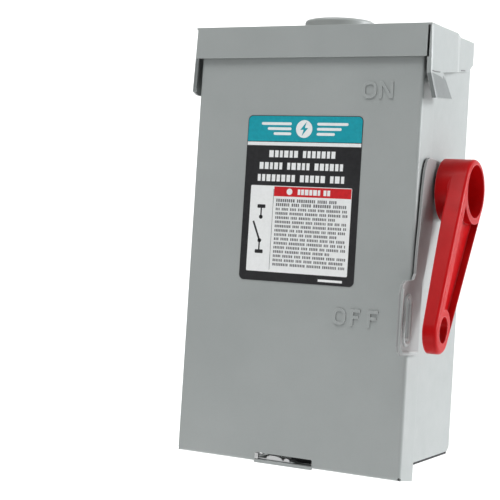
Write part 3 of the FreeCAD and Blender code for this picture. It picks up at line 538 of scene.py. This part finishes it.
# ---------------------------------------------------------------- hardware detail
def coil_spring():
    """The over-centre torsion spring as wound wire, in place of its plain sleeve."""
    low, high = 54.6, 75.2
    turns, wire, radius = 7, 1.15, 6.6
    points = []
    steps = turns * 24
    for k in range(steps + 1):
        a = 2 * math.pi * turns * k / steps
        points.append(at(low + (high - low) * k / steps, SHAFT[0] + radius * math.cos(a),
                         SHAFT[1] + radius * math.sin(a)))
    start, end = points[0], points[-1]
    points = [start + Vector((0, -9 * MM, -10 * MM))] + points + [end + Vector((0, -6 * MM, 8 * MM))]
    curve = bpy.data.curves.new("drive_spring_coil", "CURVE")
    curve.dimensions = "3D"
    curve.bevel_depth = wire * MM
    curve.bevel_resolution = 3
    spline = curve.splines.new("POLY")
    spline.points.add(len(points) - 1)
    for point, place in zip(spline.points, points):
        point.co = (*place, 1.0)
    curve.use_fill_caps = True
    piece = bpy.data.objects.new("drive_spring_coil", curve)
    bpy.context.collection.objects.link(piece)
    curve.materials.append(SPRING)
    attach(piece, "handle")
    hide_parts("drive_spring")


def fuse_bands():
    """Printed paper band round each fuse tube; its print is laid flat and wrapped round the tube."""
    rng = random.Random(3)
    for index, x in enumerate(POLES):
        centre = at(x, FUSE_DEPTH, 0.0)
        low, high = 92.4, 114.4
        profile = [(6.80, low), (6.86, low + 0.2), (6.86, high - 0.2), (6.80, high)]
        lathe("fuse_band_%d" % index, profile, centre, (0, 0, 1), PAPER, "enclosure")
        marks = []
        for k in range(5):
            marks += blocks((x - 5.0, x + 4.6), 95.0 + 3.6 * k, 1.8, rng, 0.5, 0.4, (3, 6))
        bm = bmesh.new()
        for outline in marks:
            flat_shape(bm, outline, 0.0, 0.04)
        for vert in bm.verts:
            around = (vert.co.x / MM - x) / 6.9
            r = 6.93 - (vert.co.y / MM + DEPTH)
            vert.co.x = (x + r * math.sin(around)) * MM
            vert.co.y = (FUSE_DEPTH - DEPTH - r * math.cos(around)) * MM
        finish_piece("fuse_print_%d" % index, bm, INK_GREY, "enclosure")


def ridge(radius, base, top):
    """Profile of a low ridge round a circle."""
    return [(radius - 0.35, base), (radius - 0.1, top), (radius + 0.1, top), (radius + 0.35, base)]


def knockout_rings():
    """Stamped rings round the conduit slugs: under the floor, and inside the back wall."""
    radii = (10.6, 14.6)
    for index, x in enumerate((-38.0, 38.0)):
        for ring, radius in enumerate(radii):
            annulus("knockout_ring_%d_%d" % (index, ring), ridge(radius, -0.02, -0.22),
                    at(x, 58.0, BOX_BOTTOM), (0, 0, 1), ENAMEL)
    for ring, radius in enumerate(radii):
        annulus("knockout_back_ring_%d" % ring, ridge(radius, 0.02, 0.2),
                at(0.0, BACK_INSIDE, 37.5), (0, -1, 0), ENAMEL)


def swage(name, path, x, half, lift, material, body="enclosure", closed=True):
    """Raised half-round bead on a face that looks to the right, along a path of (depth, height)."""
    bm = bmesh.new()
    arc_steps = 6
    rows = []
    count = len(path)
    for k, (depth, height) in enumerate(path):
        before = path[(k - 1) % count] if closed or k else path[k]
        after = path[(k + 1) % count] if closed or k < count - 1 else path[k]
        run = Vector((after[0] - before[0], after[1] - before[1])).normalized()
        row = []
        for step in range(arc_steps + 1):
            a = math.pi * step / arc_steps
            out = -math.cos(a) * half
            row.append(bm.verts.new(at(x + math.sin(a) * lift, depth - run.y * out, height + run.x * out)))
        rows.append(row)
    for low, high in zip(rows, rows[1:] + rows[:1] if closed else rows[1:]):
        for k in range(arc_steps):
            bm.faces.new([low[k], low[k + 1], high[k + 1], high[k]])
        bm.faces.new([low[0], high[0], high[-1], low[-1]])
    if not closed:
        bm.faces.new(list(reversed(rows[0])))
        bm.faces.new(rows[-1])
    return finish_piece(name, bm, material, body, smooth=50)


def bracket_beads():
    """Drawn-up rim round the padlock slot, and the rolled lower edge of the lock bracket."""
    slot_depth, rim_radius = -12.3, 6.4
    rim = []
    for start, height in ((0, 120.0), (180, 99.5)):
        for k in range(13):
            a = math.radians(start + 15 * k)
            rim.append((slot_depth + rim_radius * math.cos(a), height + rim_radius * math.sin(a)))
    # the slot rim and edge bead are in the lighter grey enamel, pale on the darker bracket as painted
    # highlights
    swage("bracket_slot_rim", rim, BRACKET_FACE, 1.3, 1.2, ENAMEL)
    edge = [(-24.4, 131.0), (-24.9, 112.0), (-24.9, 94.5), (-23.4, 90.3), (-19.6, 88.2),
            (-8.0, 87.8), (11.0, 87.0)]
    swage("bracket_edge_bead", edge, BRACKET_FACE, 1.3, 1.1, ENAMEL, closed=False)


def latch_leaf():
    """Spring leaf of the latch seen through the slot, near-white as a painted highlight, and a black rubber
    block beside it as painted shade.
    """
    leaf = [(-20.4, 1.9), (3.4, 1.9), (3.4, 3.2), (2.4, 4.1), (0.4, 4.3), (-0.6, 3.6), (-1.0, 2.4),
            (-2.0, 2.4), (-3.0, 3.8), (-6.0, 4.7), (-9.0, 5.0), (-12.6, 4.8), (-14.2, 3.9), (-15.0, 2.6),
            (-20.4, 2.5)]
    ink("latch_leaf", [leaf], 1.75, GLINT_ZINC, body="latch", thick=0.5)
    bm = bmesh.new()
    # black rubber block standing in for the shade inside the box
    flat_shape(bm, rounded((1.8, 17.4), (1.9, 6.6), 0.5), 8.6, 2.2)
    finish_piece("latch_shade_block", bm, RUBBER, "cover")


def ear_creases():
    """Pressed lines on the hood's right ear, above the bent tab and at the joggle's end, in near-black
    enamel as painted shade.
    """
    crease = [(-0.9, 279.9), (6.0, 280.2), (15.0, 281.2)]
    swage("tab_crease", crease, 93.66, 0.5, 0.3, CREASE_SHADE, closed=False)
    mark = [(81.0, 292.2), (90.0, 293.5)]
    swage("joggle_shade_line", mark, 86.88, 0.5, 0.3, CREASE_SHADE, closed=False)


def floor_step_shades():
    """Black rubber strip as painted shade in the step between each side wall and the floor."""
    for side, name in ((1, "right"), (-1, "left")):
        bm = bmesh.new()
        corners = [(83.9, 26.0), (84.9, 26.0), (84.9, 103.0), (83.9, 103.0)]
        low, high = [[bm.verts.new(at(side * x, depth, level)) for x, depth in corners]
                     for level in (7.35, 8.95)]
        bm.faces.new(low)
        bm.faces.new(list(reversed(high)))
        bridge(bm, [low, high])
        finish_piece("floor_shade_strip_" + name, bm, RUBBER, "enclosure")


# ---------------------------------------------------------------- stage
def stage():
    """Pale floor that curves up into a pale wall behind the object."""
    floor_drop = 0.45
    low = cad_box[0][2] - floor_drop
    width, front, back, bend, height = 7.0, -7.0, 1.8, 0.8, 4.0
    profile = [(front, low)]
    for k in range(13):
        a = math.radians(90 * k / 12)
        profile.append((back - bend + bend * math.sin(a), low + bend - bend * math.cos(a)))
    profile.append((back, low + height))
    bm = bmesh.new()
    rows = [[bm.verts.new((side * width, y, z)) for side in (-1, 1)] for y, z in profile]
    for first, second in zip(rows, rows[1:]):
        bm.faces.new([first[0], first[1], second[1], second[0]])
    floor = finish_piece("studio_floor", bm, backdrop_paper("studio_paper"), None, smooth=60)


def soft_light(name, place, target, size, watts, color=(1.0, 1.0, 1.0)):
    data = bpy.data.lights.new(name, "AREA")
    data.shape = "RECTANGLE"
    data.size, data.size_y = size
    data.energy = watts
    data.color = color
    light = bpy.data.objects.new(name, data)
    light.location = place
    light.rotation_euler = (Vector(target) - Vector(place)).to_track_quat("-Z", "Y").to_euler()
    bpy.context.collection.objects.link(light)


def studio():
    """White sweep lit on its own; the object lit from its right and a little behind, and from above."""
    scene = bpy.context.scene
    scene.view_settings.view_transform = "Standard"
    scene.view_settings.look = "None"
    world = bpy.data.worlds.new("studio_world")
    world.use_nodes = True
    background = world.node_tree.nodes["Background"]
    background.inputs["Color"].default_value = (0.97, 0.985, 1.0, 1.0)
    background.inputs["Strength"].default_value = 0.2
    scene.world = world
    soft_light("key_light", (1.6, 0.65, 0.55), (0.0, -0.05, 0.0), (0.9, 0.9), 32.0, (0.97, 0.985, 1.0))
    soft_light("top_light", (-0.2, -1.0, 1.9), (0.0, -0.1, 0.0), (1.6, 1.0), 31.5)
    soft_light("floor_card", (-0.1, -0.85, -0.5), (0.0, -0.1, -0.15), (1.2, 0.4), 1.6)
    soft_light("sweep_light", (-1.1, 0.95, 1.3), (-1.1, 1.8, 0.0), (1.5, 0.5), 19.0)
    soft_light("low_sweep_light", (-1.1, 0.9, -0.5), (-1.1, 1.8, -0.3), (1.5, 0.15), 2.6)


def camera():
    """Looks up very slightly from the object's right, a little rolled, as the photograph does."""
    data = bpy.data.cameras.new("camera")
    data.sensor_width = 36.0
    data.lens = 93.37
    data.shift_x = -0.0045
    data.shift_y = -0.0842
    data.clip_start = 0.05
    view = bpy.data.objects.new("camera", data)
    turn, rise, roll = 27.15, 1.77, 3.6
    view.matrix_world = (Matrix.Translation((0.39104, -0.9447, -0.00837))
                         @ Matrix.Rotation(math.radians(turn), 4, "Z")
                         @ Matrix.Rotation(math.radians(90 + rise), 4, "X")
                         @ Matrix.Rotation(math.radians(roll), 4, "Z"))
    bpy.context.collection.objects.link(view)
    bpy.context.scene.camera = view


camera()
stage()
studio()
dress_nodes()
face_label()
inside_label()
coil_spring()
fuse_bands()
knockout_rings()
bracket_beads()
latch_leaf()
ear_creases()
floor_step_shades()
